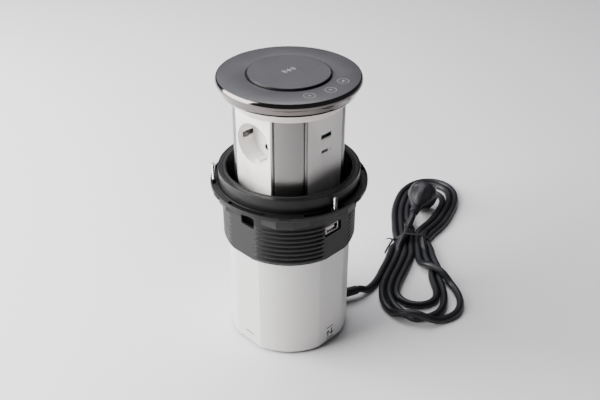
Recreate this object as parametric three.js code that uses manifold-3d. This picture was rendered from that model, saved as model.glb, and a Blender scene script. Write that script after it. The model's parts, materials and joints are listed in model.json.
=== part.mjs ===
// Motorised pop-up desk socket: a tower for a hole in a desk top, with a column that rises out of it.
// Millimetres, +Z up, the origin on the floor under the middle of the tower, the front towards -Y.
import * as THREE from 'three';
import { mergeVertices } from 'three/addons/utils/BufferGeometryUtils.js';
import Module from 'manifold-3d';

const wasm = await Module();
wasm.setup();

// ---------- driving dimensions ----------
const BODY_RADIUS = 60;          // lower housing, over its rounded corners
const BODY_FLAT = 57.8;          // from the axis to the housing's four flat sides
const BODY_WALL = 2.2;
const FOOT_CIRCLE = 52;
const FOOT_HEIGHT = 2;
const CAP_LIP = 1.5;
const BODY_HEIGHT = 110;
const COLLAR_ROOT = 63.8;        // threaded collar, between its ribs
const COLLAR_RIB = 64.8;
const COLLAR_FLAT = 61.9;
const RIB_PITCH = 4.8;
const RIB_COUNT = 8;
const SPIGOT_WALL = 2.6;
const RIM_RADIUS = 67.5;
const RIM_BORE = 59.8;
const RIM_TOP = 188;
const RIM_HEIGHT = 14;
const COLUMN_RADIUS = 51.5;
const COLUMN_FLAT = 45.4;
const COLUMN_FOOT = 132.2;
const COLUMN_TOP = 255.6;
const PANEL_THICKNESS = 2.5;
const SOCKET_RADIUS = 19.5;      // recess of an earthed two-pin socket
const SOCKET_DEPTH = 17.5;
const SOCKET_Z = 225.5;
const PIN_OFFSET = 9.5;          // half the pin spacing, on sockets and plug
const CLAMP_RADIUS = 75.1;
const CLAMP_TOP = 174.4;
const CLAMP_TURN = -3.4;         // how far the clamp ring has been screwed round
const SCREW_CIRCLE = 71.6;
const SCREW_LENGTH = 18;
const CORD_RADIUS = 4;
const GLAND_TURN = 22;           // direction in which the cord leaves
const GLAND_Z = 10.5;
const FIT_GAP = 0.3;
const FLAT_TURNS = [225, 315, 45, 135];
const CORNER_TURNS = [270, 0, 90, 180];
const ROUND = 36;                // facets on a large round part
const SMALL_ROUND = 16;

const BODY_FLOOR = FOOT_HEIGHT + CAP_LIP;
const BODY_TOP = BODY_FLOOR + BODY_HEIGHT;
const COLLAR_FLOOR = BODY_TOP + 0.5;
const RIM_FLOOR = RIM_TOP - RIM_HEIGHT;
const RAD = Math.PI / 180;

// ---------- finishes: colour, roughness, metalness ----------
const FINISHES = {
  silver: [0xdcdcdc, 0.38, 0.35],
  black_plastic: [0x2a2b2e, 0.5, 0],
  rubber: [0x17171a, 0.85, 0],
  white_plastic: [0xf0edea, 0.2, 0],
  satin_aluminium: [0x9c9a98, 0.32, 0.9],
  ring_white: [0xe9dcdb, 0.35, 0],
  dark_chrome: [0x4d4a4c, 0.15, 0.95],
  touch_glass: [0x3a3b3f, 0.4, 0],
  steel: [0xc4c4c6, 0.3, 0.95],
  brass: [0xc9a24a, 0.35, 0.9],
  circuit_board: [0x1f5c3a, 0.6, 0],
  copper: [0xb4693a, 0.4, 0.9],
  cord_black: [0x2b2b30, 0.6, 0],
};

function material(name) {
  const [color, roughness, metalness] = FINISHES[name];
  return new THREE.MeshStandardMaterial({ color, roughness, metalness });
}

// ---------- solids ----------
function withoutFlatTriangles(index) {
  const kept = [];
  for (let i = 0; i < index.length; i += 3) {
    const [a, b, c] = [index[i], index[i + 1], index[i + 2]];
    if (a !== b && b !== c && c !== a) kept.push(a, b, c);
  }
  return kept;
}

function signedVolume(position, index) {
  const [a, b, c] = [new THREE.Vector3(), new THREE.Vector3(), new THREE.Vector3()];
  let volume = 0;
  for (let i = 0; i < index.length; i += 3) {
    a.fromArray(position, 3 * index[i]);
    b.fromArray(position, 3 * index[i + 1]);
    c.fromArray(position, 3 * index[i + 2]);
    volume += a.dot(b.cross(c)) / 6;
  }
  return volume;
}

// A closed three.js geometry as a solid whose faces point outwards.
function solid(geometry) {
  const bare = geometry.clone();
  bare.deleteAttribute('normal');
  bare.deleteAttribute('uv');
  const merged = mergeVertices(bare, 1e-4);
  const position = Float32Array.from(merged.attributes.position.array);
  const index = withoutFlatTriangles(merged.index.array);
  if (signedVolume(position, index) < 0) index.reverse();
  const triVerts = Uint32Array.from(index);
  return new wasm.Manifold(new wasm.Mesh({ numProp: 3, vertProperties: position, triVerts }));
}

function geometryOf(body) {
  const mesh = body.getMesh();
  const geometry = new THREE.BufferGeometry();
  geometry.setAttribute('position', new THREE.BufferAttribute(Float32Array.from(mesh.vertProperties), 3));
  geometry.setIndex(new THREE.BufferAttribute(Uint32Array.from(mesh.triVerts), 1));
  geometry.computeVertexNormals();
  return geometry;
}

const joined = (first, ...others) => others.reduce((sum, other) => sum.add(other), first);
const cut = (first, ...others) => others.reduce((rest, other) => rest.subtract(other), first);

function shapeOf(points) {
  return new THREE.Shape(points.map(([x, y]) => new THREE.Vector2(x, y)));
}

// An outline in X and Y, extruded from one height to another, with any holes.
function prism(points, low, high, holes = []) {
  const shape = shapeOf(points);
  shape.holes = holes.map(shapeOf);
  const geometry = new THREE.ExtrudeGeometry(shape, { depth: high - low, bevelEnabled: false });
  return solid(geometry.translate(0, 0, low));
}

// A closed outline in radius and height, turned about the Z axis.
function turned(profile, segments = ROUND) {
  const closed = [...profile, profile[0]];
  const points = closed.map(([r, z]) => new THREE.Vector2(r, z));
  return solid(new THREE.LatheGeometry(points, segments).rotateX(Math.PI / 2));
}

function disc(radius, low, high, x = 0, y = 0, segments = SMALL_ROUND) {
  const geometry = new THREE.CylinderGeometry(radius, radius, high - low, segments).rotateX(Math.PI / 2);
  return solid(geometry.translate(x, y, (low + high) / 2));
}

// A cylinder along the X axis.
function rod(radius, low, high, y = 0, z = 0, segments = SMALL_ROUND) {
  const geometry = new THREE.CylinderGeometry(radius, radius, high - low, segments).rotateZ(Math.PI / 2);
  return solid(geometry.translate((low + high) / 2, y, z));
}

function block([x0, x1], [y0, y1], [z0, z1]) {
  const geometry = new THREE.BoxGeometry(x1 - x0, y1 - y0, z1 - z0);
  return solid(geometry.translate((x0 + x1) / 2, (y0 + y1) / 2, (z0 + z1) / 2));
}

function arcPoints(radius, from, to, steps) {
  const points = [];
  for (let i = 0; i <= steps; i++) {
    const angle = (from + ((to - from) * i) / steps) * RAD;
    points.push([radius * Math.cos(angle), radius * Math.sin(angle)]);
  }
  return points;
}

// A circle whose four diagonal sides are cut flat at the given distance from the axis.
function barrel(radius, flat, steps = 8) {
  const half = 45 - Math.acos(flat / radius) / RAD;
  return [0, 90, 180, 270].flatMap((turn) => arcPoints(radius, turn - half, turn + half, steps));
}

function sector(inner, outer, from, to, low, high) {
  const steps = Math.max(2, Math.round((to - from) / 6));
  const outside = arcPoints(outer, from, to, steps);
  const inside = arcPoints(inner, from, to, steps).reverse();
  return prism([...outside, ...inside], low, high);
}

// A box in Y and Z with rounded corners, from one X to another.
function roundedSlot(x0, x1, width, height, radius, y = 0, z = 0) {
  const [w, h] = [width / 2 - radius, height / 2 - radius];
  const corners = [[w, h, 0], [-w, h, 90], [-w, -h, 180], [w, -h, 270]];
  const points = corners.flatMap(([cy, cz, turn]) => arcPoints(radius, turn, turn + 90, 3)
    .map(([py, pz]) => [cy + py + y, cz + pz + z]));
  const geometry = new THREE.ExtrudeGeometry(shapeOf(points), { depth: x1 - x0, bevelEnabled: false });
  geometry.translate(0, 0, x0);
  geometry.applyMatrix4(new THREE.Matrix4().makeBasis(
    new THREE.Vector3(0, 1, 0), new THREE.Vector3(0, 0, 1), new THREE.Vector3(1, 0, 0)));
  return solid(geometry);
}

// ---------- the assembly ----------
const tower = new THREE.Group();

function add(name, body, finish, turn = 0, parent = tower) {
  const mesh = new THREE.Mesh(geometryOf(body), material(finish));
  mesh.name = name;
  mesh.rotation.z = turn * RAD;
  parent.add(mesh);
  return mesh;
}

// ---------- housing ----------
const PORT = { y: -4.5, z: 145, width: 22, height: 11 };
const WINDOW = { y: 7.5, z: 155, width: 17, height: 11 };
const SLOT = { y: 1.45, z: 13.9, width: 12.5, height: 1.2 };
const ROD_PLACE = 42;
const BRACKET_FLOOR = 40;
const BRACKET_TOP = 43;

function polar(radius, turn) {
  return [radius * Math.cos(turn * RAD), radius * Math.sin(turn * RAD)];
}

function addFeet() {
  [290, 20, 110, 200].forEach((turn, i) => {
    const [x, y] = polar(FOOT_CIRCLE, turn);
    add(`foot_${i + 1}`, disc(4, 0, FOOT_HEIGHT, x, y), 'rubber');
  });
}

function addBaseCap() {
  const inside = BODY_WALL + FIT_GAP;
  const lip = prism(barrel(BODY_RADIUS - 1.4, BODY_FLAT - 1.4), FOOT_HEIGHT, BODY_FLOOR);
  const plug = prism(barrel(BODY_RADIUS - inside, BODY_FLAT - inside), BODY_FLOOR, BODY_FLOOR + 1);
  add('base_cap', lip.add(plug), 'black_plastic');
}

function glandHole(radius, from, to) {
  const geometry = new THREE.CylinderGeometry(radius, radius, to - from, SMALL_ROUND).rotateZ(Math.PI / 2);
  return solid(geometry.translate((from + to) / 2, 0, GLAND_Z).rotateZ(GLAND_TURN * RAD));
}

function onFlat(body, turn) {
  return solid(geometryOf(body).rotateZ(turn * RAD));
}

function addLowerHousing() {
  const inside = barrel(BODY_RADIUS - BODY_WALL, BODY_FLAT - BODY_WALL);
  const tube = prism(barrel(BODY_RADIUS, BODY_FLAT), BODY_FLOOR, BODY_TOP, [inside]);
  const slot = block([BODY_FLAT - 5, BODY_FLAT + 5],
    [SLOT.y - SLOT.width / 2, SLOT.y + SLOT.width / 2],
    [SLOT.z - SLOT.height / 2, SLOT.z + SLOT.height / 2]);
  add('lower_housing', cut(tube, onFlat(slot, FLAT_TURNS[0]), glandHole(5.3, 50, 65)), 'silver');
}

// Ribs that the clamp ring screws along; they stop where the collar's flats cut them.
function ribbedProfile(inner, low, high) {
  const first = low + 1.4;
  const outside = [[COLLAR_ROOT, first]];
  for (let i = 0; i < RIB_COUNT; i++) {
    const z = first + i * RIB_PITCH;
    outside.push([COLLAR_RIB, z + RIB_PITCH / 2], [COLLAR_ROOT, z + RIB_PITCH]);
  }
  return [[inner, low], [COLLAR_ROOT, low], ...outside, [COLLAR_ROOT, high], [inner, high]];
}

function addCollar() {
  const body = turned(ribbedProfile(RIM_BORE, COLLAR_FLOOR, RIM_FLOOR), 32)
    .intersect(prism(barrel(COLLAR_RIB + 5, COLLAR_FLAT, 3), COLLAR_FLOOR - 1, RIM_FLOOR + 1));
  const rim = turned([[RIM_BORE, RIM_FLOOR], [RIM_RADIUS, RIM_FLOOR], [RIM_RADIUS, RIM_TOP - 0.6],
    [RIM_RADIUS - 0.6, RIM_TOP], [62.6, RIM_TOP], [62.6, RIM_TOP - 1], [60.4, RIM_TOP - 1],
    [60.4, RIM_TOP], [RIM_BORE, RIM_TOP]]);
  const [spigotRadius, spigotFlat] = [BODY_RADIUS - SPIGOT_WALL, BODY_FLAT - SPIGOT_WALL];
  const inside = barrel(spigotRadius - 2.8, spigotFlat - 2.4);
  const shoulder = prism(barrel(BODY_RADIUS + 2, BODY_FLAT + 2.2), COLLAR_FLOOR, COLLAR_FLOOR + 4, [inside]);
  const spigot = prism(barrel(spigotRadius, spigotFlat), COLLAR_FLOOR - 10, COLLAR_FLOOR, [inside]);
  const ports = [[PORT, FLAT_TURNS[1]], [WINDOW, FLAT_TURNS[0]]].map(([p, turn]) =>
    onFlat(roundedSlot(50, 70, p.width, p.height, 2, p.y, p.z), turn));
  add('collar', cut(joined(body, rim, shoulder, spigot), ...ports), 'black_plastic');
}

function addRimSeal() {
  const [inner, outer] = [60.6, 62.4];
  const profile = [[inner, RIM_TOP - 1], [outer, RIM_TOP - 1], [outer, RIM_TOP], [inner, RIM_TOP]];
  add('rim_seal', turned(profile), 'rubber');
}

function addDrive() {
  const plate = prism(barrel(57.2, 55), BRACKET_FLOOR, BRACKET_TOP, [arcPoints(9.2, 0, 345, 23)]);
  const posts = FLAT_TURNS.map((turn) => disc(4, BODY_FLOOR + 1, BRACKET_FLOOR, ...polar(49, turn), 12));
  add('motor_bracket', joined(plate, ...posts), 'steel');
  add('gear_motor', turned([[0, 5], [18.5, 5], [18.5, 32], [15, 32], [15, 36], [8.6, 36],
    [8.6, 39.8], [2.9, 39.8], [2.9, 34], [0, 34]], 24), 'steel');
  const bearingTop = BRACKET_TOP + 0.8;
  const bearing = [[3.1, BRACKET_FLOOR], [8.8, BRACKET_FLOOR], [8.8, bearingTop], [3.1, bearingTop]];
  add('screw_bearing', turned(bearing, SMALL_ROUND), 'brass');
  const screw = [[0, 36], [2.5, 36], [2.5, 44.2], [4, 44.2], [4, 151], [3, 152], [0, 152]];
  add('lead_screw', turned(screw, SMALL_ROUND), 'steel');
  [['guide_rod_front', -ROD_PLACE], ['guide_rod_back', ROD_PLACE]].forEach(([name, y]) => {
    add(name, disc(3, BRACKET_TOP, 150, 0, y), 'steel');
  });
}

function addElectronics() {
  const board = block([-30, 30], [26, 27.6], [6, 38]);
  const transformer = block([-14, 8], [27, 44], [9, 30]);
  const capacitor = disc(5, 12, 30, 18, 34);
  const stand = block([13, 23], [27, 39], [9, 12.5]);
  add('power_board', joined(board, transformer, capacitor, stand), 'circuit_board');
  const base = block([32, 47], [-6, 16], [5, 15]);
  const heads = [-2, 5, 12].map((y) => disc(2.4, 14, 16.4, 39.5, y, 10));
  add('terminal_block', joined(base, ...heads), 'white_plastic');
}

function addDataPort() {
  const shell = block([48, 60], [PORT.y - 8.4, PORT.y + 8.4], [PORT.z - 4.4, PORT.z + 4.4]);
  const cavity = block([50, 61], [PORT.y - 7.4, PORT.y + 7.4], [PORT.z - 3.4, PORT.z + 3.4]);
  const tongue = block([49, 58.6], [PORT.y - 5, PORT.y + 5], [PORT.z - 1.6, PORT.z + 0.8]);
  add('data_port', shell.subtract(cavity).add(tongue), 'steel', FLAT_TURNS[1]);
}

// ---------- column ----------
function addColumnCore() {
  const rodHole = arcPoints(3.5, 0, 337.5, 15);
  const rodHoles = [-ROD_PLACE, ROD_PLACE].map((y) => rodHole.map(([px, py]) => [px, py + y]));
  const base = prism(barrel(50.9, 45), 127, 132, [...rodHoles, arcPoints(7.4, 0, 345, 23)]);
  add('column_base', base, 'satin_aluminium');
  add('lift_nut', turned([[4.3, 125], [7.1, 125], [7.1, 132], [11, 132], [11, 136], [7.1, 136],
    [7.1, 140], [4.3, 140]], 16), 'brass');
  const top = prism(barrel(47.2, 40.4), 251, COLUMN_TOP, [arcPoints(9, 0, 345, 23)]);
  add('column_top_plate', top, 'satin_aluminium');
}

// A point given by its distance out from one flat and its distance along that flat towards the corner.
const besideCorner = (out, along) => [(out - along) * Math.SQRT1_2, (out + along) * Math.SQRT1_2];

// Corner rail: a curved face between two shallow grooves, with an edge strip and a lip behind each panel.
function addCornerProfiles() {
  const lip = COLUMN_FLAT - PANEL_THICKNESS - 0.1;
  const strip = 22.3;
  const half = [
    ...arcPoints(COLUMN_RADIUS, 90, 90 - 14.33, 5),
    [12.95, 48.15],
    besideCorner(COLUMN_FLAT, 24.31),
    besideCorner(COLUMN_FLAT, strip),
    besideCorner(lip, strip),
    besideCorner(lip, 21.3),
    besideCorner(lip - 2, 21.3),
    besideCorner(lip - 2, 24.5),
    ...arcPoints(47.6, 76, 90, 4),
  ];
  const mirrored = half.slice(1, -1).map(([x, y]) => [-x, y]).reverse();
  const rail = prism([...half, ...mirrored], COLUMN_FOOT, COLUMN_TOP);
  CORNER_TURNS.forEach((turn, i) => add(`corner_profile_${i + 1}`, rail, 'satin_aluminium', turn - 90));
}

const PANEL_BACK = COLUMN_FLAT - PANEL_THICKNESS;
const PANEL_HALF = 22.2;

function panelPlate() {
  return block([PANEL_BACK, COLUMN_FLAT], [-PANEL_HALF, PANEL_HALF], [COLUMN_FOOT, COLUMN_TOP]);
}

// Along +X: the recess cup behind the panel, with pin holes, guide ribs and openings for the earth clips.
function socketCup() {
  const floor = COLUMN_FLAT - SOCKET_DEPTH;
  const mouth = PANEL_BACK - 0.1;
  const outer = SOCKET_RADIUS + 1.4;
  const profile = [[0, floor - 2], [outer, floor - 2], [outer, mouth], [SOCKET_RADIUS, mouth],
    [SOCKET_RADIUS, floor], [0, floor]];
  const points = profile.map(([r, x]) => new THREE.Vector2(r, x));
  const shell = solid(new THREE.LatheGeometry(points, 24).rotateZ(-Math.PI / 2));
  const ribs = [-1, 1].map((side) => block([floor - 1, mouth - 2], [-2.2, 2.2],
    side > 0 ? [SOCKET_RADIUS - 1.8, SOCKET_RADIUS + 1] : [-SOCKET_RADIUS - 1, 1.8 - SOCKET_RADIUS]));
  const pinHoles = [-PIN_OFFSET, PIN_OFFSET].map((z) => rod(3, floor - 4, floor + 2, 0, z, 12));
  const clipHoles = [-1, 1].map((side) => block([floor - 3, floor + 12],
    side > 0 ? [18.6, 23] : [-23, -18.6], [-2.8, 2.8]));
  return cut(joined(shell, ...ribs), ...pinHoles, ...clipHoles);
}

function earthStrap() {
  const back = COLUMN_FLAT - SOCKET_DEPTH - 3.7;
  const bar = block([back, back + 0.8], [-20.3, 20.3], [-2.2, 2.2]);
  const arms = [-1, 1].map((side) => {
    const outline = [[back, 20.3], [back, 19.5], [33, 19.5], [35, 17.8], [37, 17.8], [39, 19.5], [39, 20.3]];
    return prism(outline.map(([x, y]) => [x, side * y]), -2.2, 2.2);
  });
  return joined(bar, ...arms);
}

function contact() {
  const [back, front] = [11, COLUMN_FLAT - SOCKET_DEPTH - 2.3];
  return rod(3.5, back, front, 0, 0, 12).subtract(rod(2.5, back + 2, front + 1, 0, 0, 12));
}

function raised(body, z) {
  return solid(geometryOf(body).translate(0, 0, z));
}

function addSocketSide(label, turn) {
  const opening = rod(SOCKET_RADIUS, PANEL_BACK - 1, COLUMN_FLAT + 1, 0, SOCKET_Z, 40);
  add(`socket_panel_${label}`, panelPlate().subtract(opening), 'white_plastic', turn);
  add(`socket_cup_${label}`, raised(socketCup(), SOCKET_Z), 'white_plastic', turn);
  add(`earth_strap_${label}`, raised(earthStrap(), SOCKET_Z), 'brass', turn);
  add(`contact_live_${label}`, raised(contact(), SOCKET_Z + PIN_OFFSET), 'brass', turn);
  add(`contact_neutral_${label}`, raised(contact(), SOCKET_Z - PIN_OFFSET), 'brass', turn);
}

// Along +X: a charging port's metal shell with its tongue.
function portShell({ y, z, width, height, radius }, tongue) {
  const wall = 0.4;
  const [w, h, r] = [width - 2 * FIT_GAP, height - 2 * FIT_GAP, radius - 0.1];
  const front = COLUMN_FLAT - 0.4;
  const shell = roundedSlot(30, front, w, h, r, y, z);
  const cavity = roundedSlot(34, front + 1, w - 2 * wall, h - 2 * wall, r - 0.2, y, z);
  const [left, right] = [y - tongue.half, y + tongue.half];
  const blade = block([33, front - 1.5], [left, right], [z + tongue.low, z + tongue.high]);
  return shell.subtract(cavity).add(blade);
}

const USB_A = { y: 1.3, z: 233.7, width: 13.7, height: 5, radius: 0.5 };
const USB_C = { y: -0.2, z: 218.7, width: 9, height: 3.4, radius: 1.3 };

function addUsbSide(turn) {
  const openings = [USB_A, USB_C].map((p) =>
    roundedSlot(PANEL_BACK - 1, COLUMN_FLAT + 1, p.width, p.height, p.radius, p.y, p.z));
  add('usb_panel', cut(panelPlate(), ...openings), 'white_plastic', turn);
  add('usb_a_port', portShell(USB_A, { half: 5.6, low: 0.1, high: 1.4 }), 'steel', turn);
  add('usb_c_port', portShell(USB_C, { half: 3.2, low: -0.35, high: 0.35 }), 'steel', turn);
  add('usb_board', block([28, 29.6], [-19, 19], [205, 246]), 'circuit_board', turn);
}

// ---------- lid ----------
function addLid() {
  const diffuser = [[40, 255.9], [51.9, 255.9], [59.3, 265.9], [57, 265.9], [50, 257.6], [40, 257.6]];
  add('diffuser_ring', turned(diffuser), 'ring_white');
  add('led_board', turned([[42, 257.9], [49, 257.9], [49, 259.1], [42, 259.1]]), 'circuit_board');
  const tray = [[0, 255.9], [39.4, 255.9], [39.4, 260], [49.5, 260], [55.8, 267.2], [60.4, 271.4],
    [60.4, 274.6], [58.4, 274.6], [58.4, 272.2], [48.5, 262], [0, 262]];
  add('lid_tray', turned(tray), 'black_plastic');
  const bezel = [[56.9, 266.1], [60.3, 266.1], [64.8, 272.2], [66, 275.6], [66, 277.4], [64.9, 279.3],
    [64.4, 279.3], [64.4, 277.3], [61.6, 277.3], [61.4, 270.6]];
  add('lid_bezel', turned(bezel), 'dark_chrome');
  add('touch_plate', turned([[39.2, 277.5], [64.1, 277.5], [64.1, 279.5], [39.2, 279.5]]), 'touch_glass');
  const pad = [[0, 272], [36, 272], [36, 277.5], [37.8, 277.5], [37.8, 280.8], [37.2, 281.4], [0, 281.4]];
  add('charging_pad', turned(pad), 'touch_glass');
  add('charging_coil', turned([[8, 266], [22, 266], [22, 269], [8, 269]], 24), 'copper');
}

// ---------- desk clamp ----------
const LUG_FLOOR = 158.7;
const CLAMP_FLOOR = 170.3;
const CLAMP_BORE = 65.3;
// The top of the ring is recessed round its bore, so its ledge stays 2 mm clear of the rim's underside.
const CLAMP_LEDGE = 171.9;
const LUG_TURNS = [0, 1, 2, 3, 4, 5].map((i) => 60 * i);
const SCREW_TURNS = [0, 1, 2].map((i) => 38.4 + 120 * i);
const SCREW_TOPS = [186.5, 189, 191.5];

// The ring's six lugs are the corners of a blunted hexagon, cut off inside by the bore.
function lugs() {
  const [face, side] = [69.7, 64.3];
  const tip = 8;
  const points = LUG_TURNS.flatMap((turn) => {
    const [cx, cy] = polar(face, turn);
    const [tx, ty] = polar(tip, turn + 90);
    return [[cx - tx, cy - ty], [cx + tx, cy + ty]];
  });
  const bore = arcPoints(CLAMP_BORE, 0, 350, ROUND - 1);
  const blunt = prism(points, LUG_FLOOR, CLAMP_FLOOR + 1);
  const reach = prism(arcPoints(side / Math.cos(30 * RAD), 0, 300, 5), LUG_FLOOR - 1, CLAMP_FLOOR + 2);
  return blunt.intersect(reach).subtract(prism(bore, LUG_FLOOR - 2, CLAMP_FLOOR + 3));
}

function clampScrew(top) {
  const [foot, radius] = [top - SCREW_LENGTH, 1.95];
  return turned([[0, foot], [radius, foot], [radius, top - 0.5], [1.4, top], [0, top]], 12);
}

function addClamp() {
  const flange = turned([[CLAMP_BORE, CLAMP_FLOOR], [CLAMP_RADIUS, CLAMP_FLOOR], [CLAMP_RADIUS, 173.8],
    [74.5, CLAMP_TOP], [69, CLAMP_TOP], [69, 174.9], [68.1, 174.9],
    [68.1, CLAMP_LEDGE], [CLAMP_BORE, CLAMP_LEDGE]]);
  const boss = (turn) => disc(3.6, CLAMP_FLOOR + 0.5, CLAMP_TOP + 0.8, ...polar(SCREW_CIRCLE - 0.2, turn));
  const bosses = joined(...SCREW_TURNS.map(boss));
  const pockets = LUG_TURNS.map((turn) => {
    const pocket = sector(69.9, 73.6, turn + 14, turn + 46, CLAMP_TOP - 2.2, CLAMP_TOP + 2);
    return pocket.subtract(bosses);
  });
  const holes = SCREW_TURNS.map((turn) => disc(2.3, LUG_FLOOR, 180, ...polar(SCREW_CIRCLE, turn), 12));
  const tabs = joined(...LUG_TURNS.map((turn) => sector(73, 75.9, turn - 4, turn + 4, 171.2, 173.2)));
  const turn = 270 + CLAMP_TURN;
  add('clamp_ring', cut(joined(flange, lugs(), tabs, bosses), ...pockets, ...holes), 'black_plastic', turn);
  SCREW_TURNS.forEach((screwTurn, i) => {
    const [x, y] = polar(SCREW_CIRCLE, screwTurn);
    const screw = solid(geometryOf(clampScrew(SCREW_TOPS[i])).translate(x, y, 0));
    add(`clamp_screw_${i + 1}`, screw, 'steel', turn);
  });
}

// ---------- cord ----------
// The lead from the gland to the tied hank, as points along its middle.
const LEAD = [
  [59.3, 24.0, 10.5], [66.5, 26.9, 10.5], [73.7, 29.8, 10.5], [80.2, 33.4, 9.9], [86.6, 38.6, 8.0],
  [92.2, 44.6, 5.6], [96.6, 50.8, 4.3], [99.0, 54.6, 4.1],
];
// The outer edge of the tied hank, anticlockwise from the left of its waist.
const HANK_EDGE = [
  [128.5, 137], [126, 118], [119, 97], [110.5, 77], [104.4, 59], [100.4, 40], [99.6, 20], [103, 2],
  [112, -12], [128, -20], [148, -20], [168, -15.5], [184, -5], [193.5, 13], [192.5, 34], [183.5, 54],
  [175, 76], [171, 98], [169, 118], [169.5, 137], [180, 151.5], [193, 170], [204.5, 190], [214.5, 212],
  [221, 236], [218.6, 258], [205, 272], [183, 274.4], [160.4, 260], [144.6, 235], [135.6, 210.6],
  [131, 186], [128.8, 161],
];
// The space inside the upper loop, where the plug lies.
const HANK_HOLE = [
  [149.5, 163], [145.5, 178], [146, 193], [149.5, 209], [156.5, 226], [167, 240], [181, 251], [193, 251],
  [200.5, 240], [200.5, 224], [195.5, 206.5], [187, 189.5], [177, 173], [165, 163],
];
const HANK_LOW = 1;
const HANK_HIGH = 16.5;

const smooth = (points, count) => new THREE.SplineCurve(
  [...points, points[0]].map(([x, y]) => new THREE.Vector2(x, y)))
  .getPoints(count).slice(0, -1).map(({ x, y }) => [x, y]);

function addStrainRelief() {
  const profile = [[4.35, 53], [5.9, 53], [5.9, 57.2], [5, 57.2], [5, 60.3], [6.3, 60.3], [6.3, 62.3],
    [5.4, 62.3], [5.4, 64], [4.9, 79.5], [4.35, 79.5]];
  const points = [...profile, profile[0]].map(([r, x]) => new THREE.Vector2(r, x));
  const body = solid(new THREE.LatheGeometry(points, 14).rotateZ(-Math.PI / 2).translate(0, 0, GLAND_Z));
  add('strain_relief', body, 'cord_black', GLAND_TURN);
}

function addCord() {
  const path = new THREE.CatmullRomCurve3(LEAD.map((p) => new THREE.Vector3(...p)));
  const section = shapeOf(arcPoints(CORD_RADIUS - 0.1, 0, 324, 9));
  const tube = new THREE.ExtrudeGeometry(section, { steps: 16, extrudePath: path, bevelEnabled: false });
  add('mains_cord', solid(tube), 'cord_black');
  const hank = prism(smooth(HANK_EDGE, 90), HANK_LOW, HANK_HIGH, [smooth(HANK_HOLE, 36)]);
  add('cord_hank', hank, 'cord_black');
  const [tieLeft, tieRight, tieMiddle] = [125.6, 171.4, 128];
  const band = block([tieLeft, tieRight], [tieMiddle, tieMiddle + 4], [0, HANK_HIGH + 1]);
  const inside = block(
    [tieLeft + 0.8, tieRight - 0.8], [tieMiddle - 1, tieMiddle + 5], [0.7, HANK_HIGH + 0.3]);
  add('cord_tie', band.subtract(inside), 'rubber');
}

// The plug lies on the floor inside the upper loop, its pins pointing away from the tower.
const PLUG_FACE = new THREE.Vector3(173.5, 215, 20);
const PLUG_NECK = new THREE.Vector3(154.5, 172, 16.8);
const PLUG_LENGTH = 47;

function addPlug() {
  const ahead = PLUG_FACE.clone().sub(PLUG_NECK).normalize();
  const side = new THREE.Vector3(0, 0, 1).cross(ahead).normalize();
  const holder = new THREE.Group();
  const frame = new THREE.Matrix4().makeBasis(side, ahead.clone().cross(side), ahead);
  holder.quaternion.setFromRotationMatrix(frame);
  holder.position.copy(PLUG_FACE);
  tower.add(holder);
  const shell = turned([[0, 0], [17.8, 0], [18.8, -1], [18.8, -9], [16.6, -17], [11.5, -25], [7.6, -31],
    [6.4, -33], [5.2, -PLUG_LENGTH], [0, -PLUG_LENGTH]], 24);
  const recess = block([-13, 13], [-3, 3], [-2, 1]);
  add('plug', shell.subtract(recess), 'cord_black', 0, holder);
  const bridge = block([-12.6, 12.6], [-2.6, 2.6], [-1.6, -0.2]);
  const pins = [-PIN_OFFSET, PIN_OFFSET].map((x) => disc(2.4, -1, 19, x, 0, 12));
  add('plug_pins', joined(bridge, ...pins), 'steel', 0, holder);
}

addFeet();
addBaseCap();
addLowerHousing();
addCollar();
addRimSeal();
addDrive();
addElectronics();
addDataPort();
addColumnCore();
addCornerProfiles();
addSocketSide('left', FLAT_TURNS[0]);
addSocketSide('rear_right', FLAT_TURNS[2]);
addSocketSide('rear_left', FLAT_TURNS[3]);
addUsbSide(FLAT_TURNS[1]);
addLid();
addClamp();
addStrainRelief();
addCord();
addPlug();

export default tower;
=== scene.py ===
# Motorised pop-up desk socket: the visual model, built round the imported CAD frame.
# Metres, +Z up, the origin on the floor under the middle of the tower, the front towards -Y.
import json
import math
import bmesh
import bpy
import numpy as np
from mathutils import Matrix, Vector


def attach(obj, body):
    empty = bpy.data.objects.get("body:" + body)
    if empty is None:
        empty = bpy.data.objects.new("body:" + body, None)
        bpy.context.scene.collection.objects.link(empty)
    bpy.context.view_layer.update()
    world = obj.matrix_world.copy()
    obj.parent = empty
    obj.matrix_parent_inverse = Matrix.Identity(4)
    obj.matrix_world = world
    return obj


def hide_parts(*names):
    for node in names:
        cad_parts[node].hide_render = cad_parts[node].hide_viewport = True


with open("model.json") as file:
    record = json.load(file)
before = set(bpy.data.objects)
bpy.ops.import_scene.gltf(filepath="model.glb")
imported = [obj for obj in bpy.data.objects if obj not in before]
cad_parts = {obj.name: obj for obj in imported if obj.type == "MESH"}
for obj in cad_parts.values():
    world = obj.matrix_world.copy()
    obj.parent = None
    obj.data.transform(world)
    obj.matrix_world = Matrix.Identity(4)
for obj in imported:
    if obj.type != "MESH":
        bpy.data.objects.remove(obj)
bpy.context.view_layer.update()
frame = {"nodes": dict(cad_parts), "record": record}

MM = 0.001
FLATS = [225, 315, 45, 135]
CORNERS = [270, 0, 90, 180]
scene = bpy.context.scene


# ---------- camera, floor and light ----------
def add_camera():
    data = bpy.data.cameras.new("camera")
    data.lens = 47.76
    data.sensor_width = 36
    camera = bpy.data.objects.new("camera", data)
    scene.collection.objects.link(camera)
    turn = Matrix.Rotation(math.radians(-0.913), 4, "Z") @ Matrix.Rotation(math.radians(57.554), 4, "X")
    roll = Matrix.Rotation(math.radians(0.345), 4, "Z")
    camera.matrix_world = Matrix.Translation((0, -0.6546, 0.5626)) @ turn @ roll
    scene.camera = camera


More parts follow.
